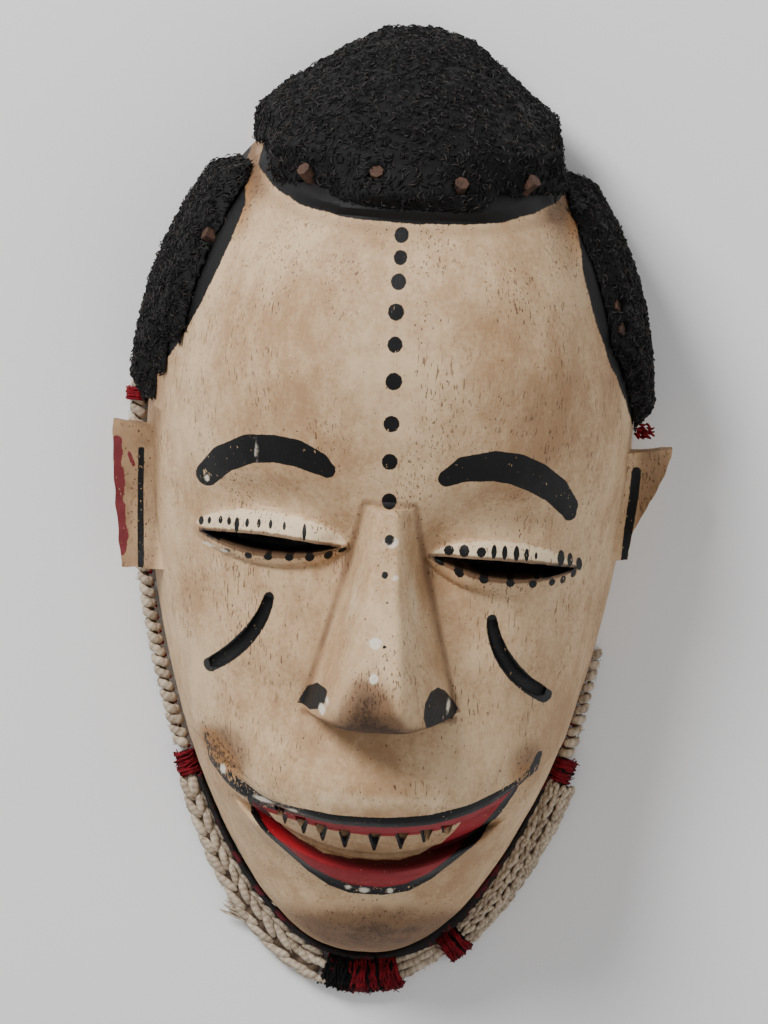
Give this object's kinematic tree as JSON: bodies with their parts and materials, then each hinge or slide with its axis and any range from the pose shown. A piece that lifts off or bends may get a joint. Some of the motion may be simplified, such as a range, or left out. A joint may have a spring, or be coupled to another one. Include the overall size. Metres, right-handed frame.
{
  "type": "igbo masquerade mask",
  "caption": "Carved wooden face mask, hollow behind, with pierced eye slits, pegged-on hair mats and the remains of a knitted edge around the jaw.",
  "frame": {"origin": "middle of the whole piece on the plane of its back rim, on which it lies", "axes": "+Z out of the face, +Y towards the crown of the head, +X towards the viewer's right"},
  "size_m": [0.1528, 0.2726, 0.1005],
  "materials": {
    "painted_wood": "matt kaolin paint, worn and stained",
    "hair": "tightly curled black wool",
    "peg_wood": "dark end grain",
    "cotton": "knitted undyed cotton",
    "dark_cloth": "black and dark red cloth",
    "red_yarn": "red yarn"
  },
  "bodies": {
    "root": {"mask_shell": "painted_wood", "crest_hair": "hair", "left_temple_hair": "hair", "right_temple_hair": "hair", "crest_peg_1": "peg_wood", "crest_peg_2": "peg_wood", "crest_peg_3": "peg_wood", "crest_peg_4": "peg_wood", "left_temple_peg_1": "peg_wood", "left_temple_peg_2": "peg_wood", "right_temple_peg_1": "peg_wood", "right_temple_peg_2": "peg_wood", "dark_cloth_band": "dark_cloth", "left_edge_binding": "cotton", "left_red_tie": "red_yarn", "left_braid": "cotton", "chin_yarn_knot": "red_yarn", "chin_cords": "cotton", "chin_red_tie": "red_yarn", "right_knit": "cotton", "right_red_tie": "red_yarn", "right_edge_binding": "cotton"}
  },
  "joints": []
}
